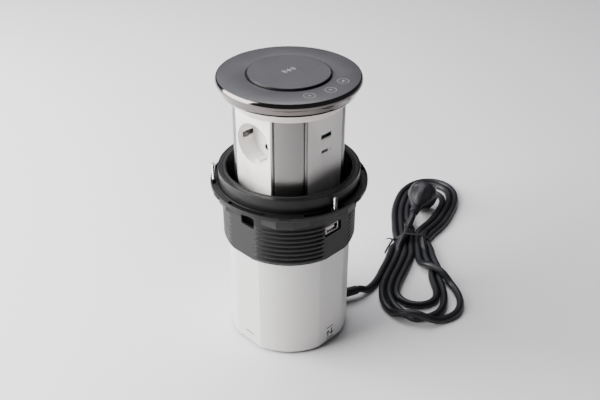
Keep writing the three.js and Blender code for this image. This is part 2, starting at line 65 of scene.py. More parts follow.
def add_light(name, place, target, size, power, colour):
    data = bpy.data.lights.new(name, "AREA")
    data.shape = "RECTANGLE"
    data.size, data.size_y = size
    data.energy = power
    data.color = colour
    light = bpy.data.objects.new(name, data)
    light.location = place
    light.rotation_euler = (Vector(target) - Vector(place)).to_track_quat("-Z", "Y").to_euler()
    scene.collection.objects.link(light)


def add_studio():
    world = bpy.data.worlds.new("studio")
    world.use_nodes = True
    background = world.node_tree.nodes["Background"]
    background.inputs["Color"].default_value = (0.78, 0.78, 0.82, 1)
    background.inputs["Strength"].default_value = 0.10
    scene.world = world
    add_light("key", (-1.35, -0.1, 0.72), (0, 0, 0.12), (1.5, 1.3), 96, (1, 0.99, 0.97))
    add_light("overhead", (-0.3, 0.75, 1.6), (0, 0.1, 0), (1.5, 1.3), 26, (0.98, 0.98, 1))


def add_floor():
    size = 6
    mesh = bpy.data.meshes.new("floor")
    corners = [(-size, -size, 0), (size, -size, 0), (size, size, 0), (-size, size, 0)]
    mesh.from_pydata(corners, [], [(0, 1, 2, 3)])
    floor = bpy.data.objects.new("floor", mesh)
    scene.collection.objects.link(floor)
    material, shader = new_material("floor_paper", (0.90, 0.885, 0.90), 0.7)
    noise = add_noise(material, 900, 2)
    add_bump(material, shader, noise, 0.03)
    mesh.materials.append(material)


# ---------- materials ----------
def new_material(name, colour, roughness, metallic=0.0):
    material = bpy.data.materials.new(name)
    material.use_nodes = True
    shader = material.node_tree.nodes["Principled BSDF"]
    shader.inputs["Base Color"].default_value = (*colour, 1)
    shader.inputs["Roughness"].default_value = roughness
    shader.inputs["Metallic"].default_value = metallic
    return material, shader


def add_noise(material, scale, detail, stretch=(1, 1, 1)):
    nodes, links = material.node_tree.nodes, material.node_tree.links
    coordinates = nodes.new("ShaderNodeTexCoord")
    mapping = nodes.new("ShaderNodeMapping")
    mapping.inputs["Scale"].default_value = stretch
    noise = nodes.new("ShaderNodeTexNoise")
    noise.inputs["Scale"].default_value = scale
    noise.inputs["Detail"].default_value = detail
    links.new(coordinates.outputs["Object"], mapping.inputs["Vector"])
    links.new(mapping.outputs["Vector"], noise.inputs["Vector"])
    return noise.outputs["Fac"]


def add_bump(material, shader, height, strength, distance=0.0004):
    bump = material.node_tree.nodes.new("ShaderNodeBump")
    bump.inputs["Strength"].default_value = strength
    bump.inputs["Distance"].default_value = distance
    material.node_tree.links.new(height, bump.inputs["Height"])
    material.node_tree.links.new(bump.outputs["Normal"], shader.inputs["Normal"])


def vary_colour(material, shader, fac, low, high):
    """Colour that runs from low to high with fac."""
    ramp = material.node_tree.nodes.new("ShaderNodeMix")
    ramp.data_type = "RGBA"
    ramp.inputs["A"].default_value = (*low, 1)
    ramp.inputs["B"].default_value = (*high, 1)
    material.node_tree.links.new(fac, ramp.inputs["Factor"])
    material.node_tree.links.new(ramp.outputs["Result"], shader.inputs["Base Color"])


def vary_roughness(material, shader, fac, low, high):
    spread = material.node_tree.nodes.new("ShaderNodeMapRange")
    spread.inputs["From Min"].default_value = 0.3
    spread.inputs["From Max"].default_value = 0.7
    spread.inputs["To Min"].default_value = low
    spread.inputs["To Max"].default_value = high
    material.node_tree.links.new(fac, spread.inputs["Value"])
    material.node_tree.links.new(spread.outputs["Result"], shader.inputs["Roughness"])


def shaded(colour, share):
    return tuple(channel * share for channel in colour)


def detailed(name, colour, roughness, metallic, grain, bump, tone, spread, stretch=(1, 1, 1)):
    """A moulded, painted or turned surface: fine grain in the bump, and slow changes of tone and gloss.

    grain and bump are the scale and depth of the fine grain; tone and spread are how far the colour and the
    roughness wander; stretch draws the grain out along an axis.
    """
    material, shader = new_material(name, colour, roughness, metallic)
    fine = add_noise(material, grain, 3, stretch)
    slow = add_noise(material, 45, 4)
    add_bump(material, shader, fine, bump, 0.0002)
    vary_colour(material, shader, slow, shaded(colour, 1 - tone), shaded(colour, 1 + tone))
    vary_roughness(material, shader, slow, roughness - spread, roughness + spread)
    return material, shader


def make_materials():
    made = {
        "silver": detailed("silver_lacquer", (0.64, 0.635, 0.625), 0.36, 0.15, 5200, 0.10, 0.02, 0.03),
        "black_plastic": detailed("black_moulding", (0.009, 0.0092, 0.0102), 0.36, 0, 3000, 0.22, 0.12, 0.06),
        "rubber": detailed("rubber", (0.012, 0.012, 0.013), 0.75, 0, 1800, 0.3, 0.2, 0.08),
        "white_plastic": detailed("white_moulding", (0.83, 0.81, 0.79), 0.22, 0, 1500, 0.03, 0.015, 0.04),
        "satin_aluminium": detailed(
            "satin_aluminium", (0.22, 0.216, 0.212), 0.30, 0.95, 3800, 0.18, 0.015, 0.012, (1, 1, 0.02)),
        "ring_white": detailed("light_ring_acrylic", (0.80, 0.73, 0.72), 0.30, 0, 900, 0.03, 0.02, 0.04),
        "dark_chrome": detailed("dark_nickel", (0.16, 0.145, 0.14), 0.10, 1.0, 600, 0.01, 0.05, 0.03),
        "touch_glass": detailed("touch_panel", (0.055, 0.055, 0.062), 0.38, 0, 2600, 0.05, 0.03, 0.04),
        "steel": detailed("zinc_steel", (0.50, 0.49, 0.48), 0.24, 1.0, 1400, 0.08, 0.08, 0.08),
        "brass": detailed("brass", (0.62, 0.42, 0.13), 0.30, 1.0, 1400, 0.06, 0.10, 0.08),
        "circuit_board": detailed("solder_mask", (0.014, 0.10, 0.04), 0.45, 0, 700, 0.15, 0.25, 0.08),
        "copper": detailed(
            "enamelled_copper", (0.46, 0.15, 0.05), 0.32, 0.9, 1600, 0.2, 0.15, 0.08, (1, 1, 8)),
        "cord_black": detailed("cord_pvc", (0.013, 0.013, 0.016), 0.42, 0, 1600, 0.16, 0.15, 0.07),
        # steel darkened for the earth clips deep in the socket recess: painted shade
        "clip_steel_painted_shade": detailed("clip_steel_painted_shade", (0.10, 0.095, 0.09), 0.34, 1.0, 1400, 0.08, 0.08, 0.06),
        "print_white": detailed("white_print", (0.34, 0.34, 0.36), 0.5, 0, 3000, 0.05, 0.05, 0.05),
        "print_dark": detailed("dark_print", (0.035, 0.035, 0.04), 0.5, 0, 3000, 0.05, 0.10, 0.05),
    }
    made["ring_white"][1].inputs["Subsurface Weight"].default_value = 0.6
    made["ring_white"][1].inputs["Subsurface Radius"].default_value = (0.012, 0.009, 0.009)
    made["satin_aluminium"][1].inputs["Anisotropic"].default_value = 0.4
    made["touch_glass"][1].inputs["Coat Weight"].default_value = 0.15
    made["cord_black"][1].inputs["Coat Weight"].default_value = 0.1
    made["black_plastic"][1].inputs["Specular IOR Level"].default_value = 0.26
    made["cord_black"][1].inputs["Specular IOR Level"].default_value = 0.3
    return {name: material for name, (material, _) in made.items()}


# ---------- meshes ----------
def polar(radius, turn, z=0.0):
    angle = math.radians(turn)
    return (radius * math.cos(angle), radius * math.sin(angle), z)


def rounded(profile, radius, steps=3):
    """A closed outline with its corners rounded, each by at most a third of its shorter side."""
    points = [Vector(p) for p in profile]
    out = []
    for i, corner in enumerate(points):
        before = points[i - 1] - corner
        after = points[(i + 1) % len(points)] - corner
        if min(before.length, after.length) < 1e-6 or corner.x < 1e-6:
            out.append(tuple(corner))
            continue
        reach = min(radius, before.length / 3, after.length / 3)
        start = corner + before.normalized() * reach
        end = corner + after.normalized() * reach
        for k in range(steps + 1):
            t = k / steps
            p = start * (1 - t) ** 2 + corner * 2 * t * (1 - t) + end * t**2
            out.append(tuple(p))
    return out


def loft(sections, closed=True):
    """Faces between sections with the same number of points round a closed outline; ends capped if open."""
    count = len(sections[0])
    verts = [p for section in sections for p in section]
    faces = []
    spans = len(sections) if closed else len(sections) - 1
    for i in range(spans):
        a, b = i * count, ((i + 1) % len(sections)) * count
        for k in range(count):
            n = (k + 1) % count
            faces.append((a + k, a + n, b + n, b + k))
    if not closed:
        faces.append(tuple(reversed(range(count))))
        faces.append(tuple(range((len(sections) - 1) * count, len(sections) * count)))
    return verts, faces


def lathe(profile, segments=160):
    """A closed outline in radius and height, turned about Z, in millimetres."""
    sections = []
    for i in range(segments):
        turn = 360 * i / segments
        sections.append([polar(r, turn, z) for r, z in profile])
    return loft(sections)


def barrel_outline(radius, flat, steps=20):
    half = 45 - math.degrees(math.acos(flat / radius))
    points = []
    for corner in (0, 90, 180, 270):
        for k in range(steps + 1):
            points.append(polar(radius, corner - half + 2 * half * k / steps)[:2])
    return points


def barrel(profile, radius, flat, steps=20):
    """A closed outline in inset and height, swept round a circle with four flats."""
    sections = []
    for inset, z in profile:
        sections.append([(x, y, z) for x, y in barrel_outline(radius - inset, flat - inset, steps)])
    return loft(sections)


def prism(outline, low, high):
    return loft([[(x, y, low) for x, y in outline], [(x, y, high) for x, y in outline]], closed=False)


def box(x, y, z):
    outline = [(x[0], y[0]), (x[1], y[0]), (x[1], y[1]), (x[0], y[1])]
    return prism(outline, z[0], z[1])


def circle(radius, segments, x=0.0, y=0.0):
    return [(x + radius * math.cos(math.tau * k / segments), y + radius * math.sin(math.tau * k / segments))
            for k in range(segments)]


def arc(radius, start, end, steps):
    return [polar(radius, start + (end - start) * k / steps)[:2] for k in range(steps + 1)]


def slot_outline(width, height, radius, x=0.0, y=0.0, steps=6):
    """A rectangle with round corners."""
    points = []
    for side, end, start in ((1, 1, 0), (-1, 1, 90), (-1, -1, 180), (1, -1, 270)):
        middle = (x + side * (width / 2 - radius), y + end * (height / 2 - radius))
        points += [(middle[0] + px, middle[1] + py) for px, py in arc(radius, start, start + 90, steps)]
    return points


def moved(shape, matrix):
    verts, faces = shape
    return [tuple(matrix @ Vector(p)) for p in verts], faces


def turned(shape, angle):
    return moved(shape, Matrix.Rotation(math.radians(angle), 4, "Z"))


def facing_out(shape):
    """A shape built along Z, laid so that its Z points out along +X and its X stays along Y."""
    return moved(shape, Matrix(((0, 0, 1, 0), (1, 0, 0, 0), (0, 1, 0, 0), (0, 0, 0, 1))))


def merged(*shapes):
    verts, faces = [], []
    for new_verts, new_faces in shapes:
        start = len(verts)
        verts += new_verts
        faces += [tuple(start + i for i in face) for face in new_faces]
    return verts, faces


def mesh_object(name, shape):
    """A shape in millimetres as a mesh object in metres, with its faces pointing out."""
    verts, faces = shape
    mesh = bpy.data.meshes.new(name)
    mesh.from_pydata([(x * MM, y * MM, z * MM) for x, y, z in verts], [], faces)
    work = bmesh.new()
    work.from_mesh(mesh)
    bmesh.ops.remove_doubles(work, verts=work.verts, dist=1e-6)
    bmesh.ops.dissolve_degenerate(work, edges=work.edges, dist=1e-6)
    bmesh.ops.recalc_face_normals(work, faces=work.faces)
    work.to_mesh(mesh)
    work.free()
    obj = bpy.data.objects.new(name, mesh)
    scene.collection.objects.link(obj)
    return obj


def apply_modifiers(obj):
    graph = bpy.context.evaluated_depsgraph_get()
    done = bpy.data.meshes.new_from_object(obj.evaluated_get(graph))
    obj.modifiers.clear()
    obj.data = done


def combine(obj, shape, operation="DIFFERENCE"):
    """Cuts a shape out of an object, or joins it on."""
    other = mesh_object("tool", shape)
    modifier = obj.modifiers.new("combine", "BOOLEAN")
    modifier.operation = operation
    modifier.solver = "EXACT"
    modifier.object = other
    apply_modifiers(obj)
    bpy.data.objects.remove(other)
    return obj


def softened(obj, width, angle=35, segments=2):
    """Rounds the edges sharper than angle."""
    modifier = obj.modifiers.new("soften", "BEVEL")
    modifier.width = width * MM
    modifier.segments = segments
    modifier.limit_method = "ANGLE"
    modifier.angle_limit = math.radians(angle)
    modifier.use_clamp_overlap = True
    apply_modifiers(obj)
    return obj


def taken(obj):
    """An object's mesh as a shape in millimetres; the object goes away."""
    verts = [tuple(v.co / MM) for v in obj.data.vertices]
    faces = [tuple(f.vertices) for f in obj.data.polygons]
    bpy.data.objects.remove(obj)
    return verts, faces


def shade(obj, angle):
    """Smooth shading, with edges sharper than angle left crisp."""
    work = bmesh.new()
    work.from_mesh(obj.data)
    for face in work.faces:
        face.smooth = True
    for edge in work.edges:
        edge.smooth = len(edge.link_faces) == 2 and edge.calc_face_angle(0) < math.radians(angle)
    work.to_mesh(obj.data)
    work.free()


def finish(obj, body, slot, replaced=(), angle=28, material=None):
    shade(obj, angle)
    obj.data.materials.clear()
    obj.data.materials.append(MATERIALS[material or slot])
    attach(obj, body)
    if replaced:
        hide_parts(*replaced)
    return obj


def piece(name, shape, body, slot, replaced=(), angle=28, material=None):
    return finish(mesh_object(name, shape), body, slot, replaced, angle, material)


# ---------- mains cord ----------
CORD_RADIUS = 4.0
GLAND_TURN, GLAND_Z = 22, 10.5
# From the gland to the hank, as in the CAD part, and on to its waist.
LEAD = [
    (59.3, 24.0, 10.5), (66.5, 26.9, 10.5), (73.7, 29.8, 10.5), (80.2, 33.4, 9.9), (86.6, 38.6, 8.0),
    (92.2, 44.6, 5.6), (96.6, 50.8, 4.3), (99.0, 54.6, 4.1), (106, 68, 4), (112, 81, 4), (119, 97, 4),
    (126, 114, 4), (130, 126, 4),
]
# The hank's turns in X and Y, in the order in which the cord runs, each with its height.
TURNS = [
    (4, [(131, 138), (131.5, 161), (134, 185), (139.5, 209), (149, 233), (161.5, 255.5), (172, 266.5),
         (186, 271), (200.5, 268.5), (212.5, 259.5), (217.5, 246), (215.5, 230), (209, 211), (199.5, 191),
         (188, 171), (177, 153), (168, 139)]),
    (4, [(165.6, 128), (166, 108), (168, 90), (170, 70), (170.5, 50), (169, 30), (166.5, 12), (162.7, -2),
         (152.5, -12.2), (138.5, -16), (124.5, -12.2), (114.3, -2), (110.5, 12), (111.5, 30), (116, 48),
         (122, 67), (129, 86), (135, 105), (138.6, 122)]),
    (4, [(139, 138), (139, 158), (140.5, 181)]),
    (11.5, [(145, 205), (152.5, 227), (162.5, 247), (171.3, 257.5), (184, 262.3), (197.5, 259.5), (208, 250),
            (212.5, 237.7), (210.5, 224), (203, 204), (192.5, 183), (180.5, 163), (168, 145)]),
    (4, [(158.5, 130), (156.5, 112), (158.5, 92), (162, 73), (164.5, 54), (164.5, 35), (161.2, 22.7)]),
    (12, [(152.2, 13.8), (140, 10.5), (127.8, 13.8), (118.8, 22.7), (115.5, 35), (118.5, 52), (126, 70),
          (133.5, 86), (140, 103), (145, 118)]),
    (4, [(147.4, 134), (147.3, 153), (147.5, 174), (149, 194), (151.5, 212), (156, 229.5), (164.3, 241),
         (176.3, 246.5), (189, 244.5), (199, 236), (203.5, 223), (200.5, 208.3), (192, 189), (181.5, 170),
         (171, 153), (161.5, 140)]),
    (13, [(156.5, 128), (152.5, 111), (155, 92), (162, 74), (172.5, 58), (182, 41), (187, 22), (182, 3),
          (167.5, -8.5), (147, -11.5), (127, -8.5), (111.5, 2.5), (105, 19), (104.5, 38), (110, 57),
          (118.5, 76), (127, 95), (136, 113), (142, 128), (146, 140)]),
]
PLUG_END = [(149.3, 153, 14.2), (152.2, 164, 16), (154.5, 172.0, 16.8)]
PLUG_FACE = Vector((173.5, 215, 20))
PLUG_NECK = Vector((154.5, 172, 16.8))
PLUG_LENGTH = 47
TIE_Y = 130
# The plug's pins, and the socket's pin holes, on either side of the middle.
PINS = (-9.5, 9.5)


def spaced(line, step):
    along = np.concatenate([[0], np.cumsum(np.linalg.norm(np.diff(line, axis=0), axis=1))])
    at = np.linspace(0, along[-1], round(along[-1] / step) + 1)
    return np.stack([np.interp(at, along, line[:, k]) for k in range(3)], axis=1)


def smooth_line(points, per_span=8):
    p = np.array([points[0], *points, points[-1]], float)
    t = np.linspace(0, 1, per_span, endpoint=False)[:, None]
    spans = []
    for a, b, c, d in zip(p, p[1:], p[2:], p[3:]):
        spans.append(0.5 * (2 * b + (c - a) * t + (2 * a - 5 * b + 4 * c - d) * t**2
                            + (3 * b - a - 3 * c + d) * t**3))
    return np.vstack([*spans, p[-1:]])


def neighbours(p, reach, apart=5):
    """Pairs of points that are near each other but not along the cord."""
    away = np.linalg.norm(p[:, None, :] - p[None, :, :], axis=2)
    i, j = np.where(away < reach)
    return i[j - i > apart], j[j - i > apart]


def settled(points, rounds=700, step=4.0):
    """The cord under its own weight: it is stiff, lies on the floor and on itself, and the tie holds it."""
    gap = 2 * CORD_RADIUS + 0.1
    hop = 4
    straightest = (hop * step) ** 2 / (2 * 27.5)
    p = spaced(smooth_line(points), step)
    home = p.copy()
    for turn in range(rounds):
        if turn % 10 == 0:
            i, j = neighbours(p, gap + 5)
        bend = np.zeros_like(p)
        bend[2:-2] = p[:-4] - 4 * p[1:-3] + 6 * p[2:-2] - 4 * p[3:-1] + p[4:]
        p = p - 0.10 * bend
        p[:, :2] += (0.012 if turn < rounds / 2 else 0.002) * (home[:, :2] - p[:, :2])
        p[:, 2] -= 0.10
        for _ in range(3):
            away = p[i] - p[j]
            apart = np.linalg.norm(away, axis=1)
            push = (0.22 * np.maximum(gap - apart, 0) / apart)[:, None] * away
            np.add.at(p, i, push)
            np.subtract.at(p, j, push)
            bow = 0.5 * (p[:-2 * hop] + p[2 * hop:]) - p[hop:-hop]
            size = np.maximum(np.linalg.norm(bow, axis=1), 1e-9)
            ease = (0.9 * np.maximum(1 - straightest / size, 0))[:, None] * bow
            p[hop:-hop] += ease
            p[:-2 * hop] -= 0.5 * ease
            p[2 * hop:] -= 0.5 * ease
            held = np.abs(p[:, 1] - TIE_Y) < 5
            p[held, 0] = np.clip(p[held, 0], 130.5, 166.5)
            p[held, 2] = np.minimum(p[held, 2], 12.6)
            p[5:, 2] = np.maximum(p[5:, 2], CORD_RADIUS)
        p[:6] = home[:6]
        p[-3:] = home[-3:]
    return p


def cord_line():
    route = list(LEAD)
    for height, turn in TURNS:
        route += [(x, y, height) for x, y in turn]
    return settled(route + PLUG_END) * MM


def add_cord(line):
    curve = bpy.data.curves.new("mains_cord_flex", "CURVE")
    curve.dimensions = "3D"
    curve.bevel_depth = CORD_RADIUS * MM
    curve.bevel_resolution = 5
    curve.use_fill_caps = True
    spline = curve.splines.new("POLY")
    spline.points.add(len(line) - 1)
    for point, place in zip(spline.points, line):
        point.co = (*place, 1)
    spline.use_smooth = True
    cord = bpy.data.objects.new("mains_cord_flex", curve)
    scene.collection.objects.link(cord)
    curve.materials.append(MATERIALS["cord_black"])
    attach(cord, "housing")
    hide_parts("mains_cord", "cord_hank")
    return cord


def add_strain_relief():
    """A sleeve through the housing wall with a collar outside it, and a grip with four grooves."""
    sleeve = [(4.15, 53), (5.9, 53), (5.9, 57.2), (5, 57.2), (5, 60.3), (6.3, 60.3), (6.3, 62.3),
              (5.4, 62.3)]
    grip = [(5.4, 64)]
    for i in range(5):
        x = 64 + i * 2.8
        grip += [(5.35 - 0.08 * i, x + 1.7), (4.75 - 0.06 * i, x + 1.9), (4.75 - 0.06 * i, x + 2.5),
                 (5.35 - 0.08 * (i + 1), x + 2.7)]
    profile = sleeve + grip + [(4.9, 79.5), (4.15, 79.5)]
    shape = lathe(profile, 40)
    lay = Matrix.Translation((0, 0, GLAND_Z)) @ Matrix.Rotation(math.pi / 2, 4, "Y")
    shape = turned(moved(shape, lay), GLAND_TURN)
    return piece("cord_strain_relief", shape, "housing", "cord_black", ["strain_relief"], 40)


def add_tie(line):
    """A thin strap drawn round the strands at the waist, with a twist and two short tails."""
    near = line[np.abs(line[:, 1] - TIE_Y * MM) < 2.2 * MM] / MM
    wrap = []
    for turn in range(0, 360, 6):
        way = np.array([math.cos(math.radians(turn)), math.sin(math.radians(turn))])
        wrap.append((near[:, [0, 2]] @ way).max() + CORD_RADIUS + 0.25)
    outline = []
    count = len(wrap)
    for k in range(count):
        a, b = math.tau * k / count, math.tau * ((k + 1) % count) / count
        da, db = wrap[k], wrap[(k + 1) % count]
        det = math.sin(b - a)
        x = (da * math.sin(b) - db * math.sin(a)) / det
        z = (db * math.cos(a) - da * math.cos(b)) / det
        outline.append((x, max(z, 0.1)))
    centre = np.mean(outline, axis=0)
    rings = []
    for inset, y in ((0, TIE_Y - 1.6), (0, TIE_Y + 1.6), (0.7, TIE_Y + 1.6), (0.7, TIE_Y - 1.6)):
        ring = []
        for x, z in outline:
            away = Vector((x - centre[0], z - centre[1]))
            away.length = max(away.length - inset, 0.1)
            ring.append((centre[0] + away.x, y, centre[1] + away.y))
        rings.append(ring)
    band = loft(rings)
    left = min(x for x, _ in outline)
    twist = lathe(rounded([(0, -3), (1.5, -2.6), (1.8, 0), (1.5, 2.6), (0, 3)], 0.5), 16)
    knot = moved(twist, Matrix.Translation((left - 1, TIE_Y, 7)) @ Matrix.Rotation(0.9, 4, "Y"))
    tails = []
    for end, z in (((-13, -21), 2.0), ((-9, 6), 3.0)):
        a, b = Vector((left - 1, TIE_Y, 6.5)), Vector((left + end[0], TIE_Y + end[1], z))
        way = (b - a).normalized()
        side = way.cross(Vector((0, 0, 1))).normalized()
        up = side.cross(way)
        sections = []
        for k in range(9):
            t = k / 8
            mid = a.lerp(b, t) + up * (1.6 * math.sin(math.pi * t))
            sections.append([tuple(mid + side * 1.1 + up * 0.35), tuple(mid - side * 1.1 + up * 0.35),
                             tuple(mid - side * 1.1 - up * 0.35), tuple(mid + side * 1.1 - up * 0.35)])
        tails.append(loft(sections, closed=False))
    return piece("cord_tie_strap", merged(band, knot, *tails), "housing", "rubber", ["cord_tie"], 40)


def plug_matrix():
    ahead = (PLUG_FACE - PLUG_NECK).normalized()
    side = Vector((0, 0, 1)).cross(ahead).normalized()
    up = ahead.cross(side)
    turn = Matrix((side, up, ahead)).transposed().to_4x4()
    return Matrix.Translation(PLUG_FACE) @ turn


def add_plug():
    """The round moulded plug: grip flutes on its cone and a ribbed neck."""
    outline = [(0, 0), (13.6, 0), (14.4, 0.3), (17.4, 0.3), (18.2, -0.2), (18.7, -1), (18.8, -3),
               (18.7, -8.4), (18.2, -9.4), (17.3, -12.5), (16.6, -17), (14.4, -21), (11.5, -25),
               (9.2, -28.4), (7.6, -31), (6.9, -32.6)]
    neck = []
    for i in range(4):
        z = -33.6 - i * 3
        crest, groove = 6.3 - 0.22 * i, 5.3 - 0.1 * i
        neck += [(crest, z), (crest, z - 1.4), (groove, z - 1.7), (groove, z - 2.6)]
    profile = outline + neck + [(5.2, -45.8), (5.1, -PLUG_LENGTH), (0, -PLUG_LENGTH)]
    segments = 96
    sections = []
    for i in range(segments):
        turn = 360 * i / segments
        flute = max(0.0, math.cos(math.radians(6 * turn))) ** 0.5
        section = []
        for r, z in profile:
            depth = 1.1 * flute * math.exp(-(((z + 17) / 6.5) ** 2)) if z < -9 else 0
            section.append(polar(max(r - depth, 0), turn, z))
        sections.append(section)
    plug = mesh_object("mains_plug", moved(loft(sections), plug_matrix()))
    combine(plug, moved(box((-13, 13), (-3, 3), (-2, 2)), plug_matrix()))
    finish(plug, "housing", "cord_black", ["plug"], 32)
    pin = [(0, -1.5), (2.4, -1.5), (2.4, 17.4), (2.1, 18.4), (1.4, 18.9), (0, 19)]
    sleeve = [(2.2, -0.5), (2.46, -0.5), (2.46, 9.4), (2.2, 9.4)]
    pins = [moved(lathe(pin, 28), Matrix.Translation((x, 0, 0))) for x in PINS]
    sleeves = [moved(lathe(sleeve, 28), Matrix.Translation((x, 0, 0))) for x in PINS]
    bridge = box((-12.6, 12.6), (-2.6, 2.6), (-1.6, -0.2))
    pins = moved(merged(*pins), plug_matrix())
    bridge = moved(merged(bridge, *sleeves), plug_matrix())
    metal = piece("mains_plug_pins", pins, "housing", "steel", ["plug_pins"])
    insert = piece("mains_plug_insert", bridge, "housing", "cord_black")
    return [plug, metal, insert]


# ---------- housing ----------
BODY_RADIUS, BODY_FLAT = 60, 57.8
BODY_FLOOR, BODY_TOP = 3.5, 113.5


def add_housing():
    wall = rounded([(0, BODY_FLOOR), (0, BODY_TOP), (2.2, BODY_TOP), (2.2, BODY_FLOOR)], 0.5)
    shell = mesh_object("housing_tube", barrel(wall, BODY_RADIUS, BODY_FLAT, 24))
    slot = taken(softened(mesh_object("tool_slot", box((-6.25, 6.25), (-0.75, 0.75), (50, 65))), 0.5, 60))
    lay = Matrix.Translation((0, 1.45, 13.9))
    combine(shell, turned(moved(facing_out(slot), lay), FLATS[0]))
    gland = moved(facing_out(prism(circle(5.3, 48), 50, 66)), Matrix.Translation((0, 0, GLAND_Z)))
    combine(shell, turned(gland, GLAND_TURN))
    finish(shell, "housing", "silver", ["lower_housing"], 9)
    # black inserts behind and inside the slot: painted shade for the dark slot
    behind = merged(box((-7, 7), (-1.3, 1.3), (54.2, 55.3)), box((-5.9, 5.9), (-0.65, 0.65), (55.2, 57.4)))
    behind = turned(moved(facing_out(behind), lay), FLATS[0])
    piece("housing_slot_painted_shade", behind, "housing", "black_plastic")


def arrow(length, width, head):
    """A thick arrow along +Y, as closed outlines."""
    half = width / 2
    return [(-half, 0), (half, 0), (half, length - head), (head * 0.8, length - head), (0, length),
            (-head * 0.8, length - head), (-half, length - head)]


def add_housing_mark():
    """A printed mark low on the right flat: an arrow up and an arrow down between two short bars."""
    up = [(x - 2.6, y + 8) for x, y in arrow(8.5, 1.5, 3.6)]
    down = [(x + 2.6, 18 - y - 1) for x, y in arrow(8.5, 1.5, 3.6)]
    bars = [[(-5, 19.2), (5, 19.2), (5, 20.4), (-5, 20.4)], [(-5, 5.4), (5, 5.4), (5, 6.6), (-5, 6.6)]]
    shapes = [facing_out(prism(o, BODY_FLAT - 0.05, BODY_FLAT + 0.06)) for o in (up, down, *bars)]
    print_shape = turned(merged(*shapes), FLATS[1])
    piece("housing_print", print_shape, "housing", "black_plastic", material="print_dark")


def add_base():
    lip = rounded([(0, 2), (0, BODY_FLOOR), (12, BODY_FLOOR), (12, 2)], 0.5)
    outer = barrel(lip, BODY_RADIUS - 1.4, BODY_FLAT - 1.4, 24)
    plate = prism(barrel_outline(48, 46, 16), 2.3, BODY_FLOOR - 0.1)
    plug = prism(barrel_outline(BODY_RADIUS - 2.5, BODY_FLAT - 2.5, 24), BODY_FLOOR - 0.05, BODY_FLOOR + 1)
    holes = [moved(lathe(rounded([(1.6, 1.9), (3.4, 1.9), (3.4, 2.35), (1.6, 2.35)], 0.2), 32),
                   Matrix.Translation(polar(44, turn))) for turn in FLATS]
    piece("base_plate", merged(outer, plate, plug, *holes), "housing", "black_plastic", ["base_cap"])
    foot = [(0, 0), (3.4, 0), (3.8, 0.3), (4, 0.8), (4, 2), (0, 2)]
    for i, turn in enumerate((290, 20, 110, 200)):
        x, y, _ = polar(52, turn)
        shape = moved(lathe(foot, 40), Matrix.Translation((x, y, 0)))
        piece(f"rubber_foot_{i + 1}", shape, "housing", "rubber", [f"foot_{i + 1}"])


# ---------- collar ----------
COLLAR_FLOOR, RIM_FLOOR, RIM_TOP = 114, 174, 188
COLLAR_BORE, COLLAR_FLAT, RIM_RADIUS = 59.8, 61.9, 67.5
THREAD_LOW, THREAD_PITCH, THREAD_TURNS = 115.4, 4.8, 8
# Where the data connector sits on the right flat: along it, and up.
DATA_PORT = (-4.5, 145)


def thread_radius(z):
    """Round-topped ribs between narrow grooves."""
    along = (z - THREAD_LOW) / THREAD_PITCH
    if not 0 <= along <= THREAD_TURNS:
        return 63.8
    wave = 0.5 - 0.5 * math.cos(math.tau * (along % 1))
    return 63.75 + 1.05 * wave**0.6


def collar_body():
    """The ribbed wall, cut back to the four flats."""
    heights = [COLLAR_FLOOR, COLLAR_FLOOR + 0.6]
    steps = 12
    heights += [THREAD_LOW + THREAD_PITCH * k / steps for k in range(THREAD_TURNS * steps + 1)]
    heights += [156, 165, RIM_FLOOR]
    edges = []
    for flat in FLATS:
        half = math.degrees(math.acos(COLLAR_FLAT / 64.8))
        edges += [flat - half, flat + half]
    turns = sorted(set([k * 1.5 for k in range(240)] + [round(e % 360, 3) for e in edges]))
    sections = []
    for turn in turns:
        off = min(abs((turn - flat + 180) % 360 - 180) for flat in FLATS)
        limit = COLLAR_FLAT / math.cos(math.radians(off))
        section = []
        for z in heights:
            blunt = 0.5 if z == COLLAR_FLOOR else 0
            section.append(polar(min(thread_radius(z) - blunt, limit), turn, z))
        section += [polar(COLLAR_BORE, turn, RIM_FLOOR), polar(COLLAR_BORE, turn, COLLAR_FLOOR)]
        sections.append(section)
    return loft(sections)


def add_collar():
    collar = mesh_object("threaded_collar", collar_body())
    for y, z, width, height, flat in ((*DATA_PORT, 22, 11, FLATS[1]), (7.5, 155, 17, 11, FLATS[0])):
        cutter = facing_out(prism(slot_outline(width, height, 2, y, z), 50, 70))
        combine(collar, turned(cutter, flat))
    rim = [(COLLAR_BORE, RIM_FLOOR - 0.05), (RIM_RADIUS, RIM_FLOOR - 0.05), (RIM_RADIUS, RIM_TOP),
           (62.6, RIM_TOP), (62.6, RIM_TOP - 1), (60.4, RIM_TOP - 1), (60.4, RIM_TOP), (COLLAR_BORE, RIM_TOP)]
    combine(collar, lathe(rounded(rim, 0.7), 240), "UNION")
    finish(collar, "housing", "black_plastic", ["collar"], 24)
    shoulder = barrel([(0, 114), (0, 117.8), (7, 117.8), (7, 104), (4.6, 104), (4.6, 114)], 62, 60, 20)
    piece("collar_spigot", shoulder, "housing", "black_plastic", angle=12)
    low, high = RIM_TOP - 1, RIM_TOP + 0.1
    seal = rounded([(60.6, low), (62.4, low), (62.4, high), (60.6, high)], 0.5)
    piece("rim_gasket", lathe(seal, 240), "housing", "rubber", ["rim_seal"])


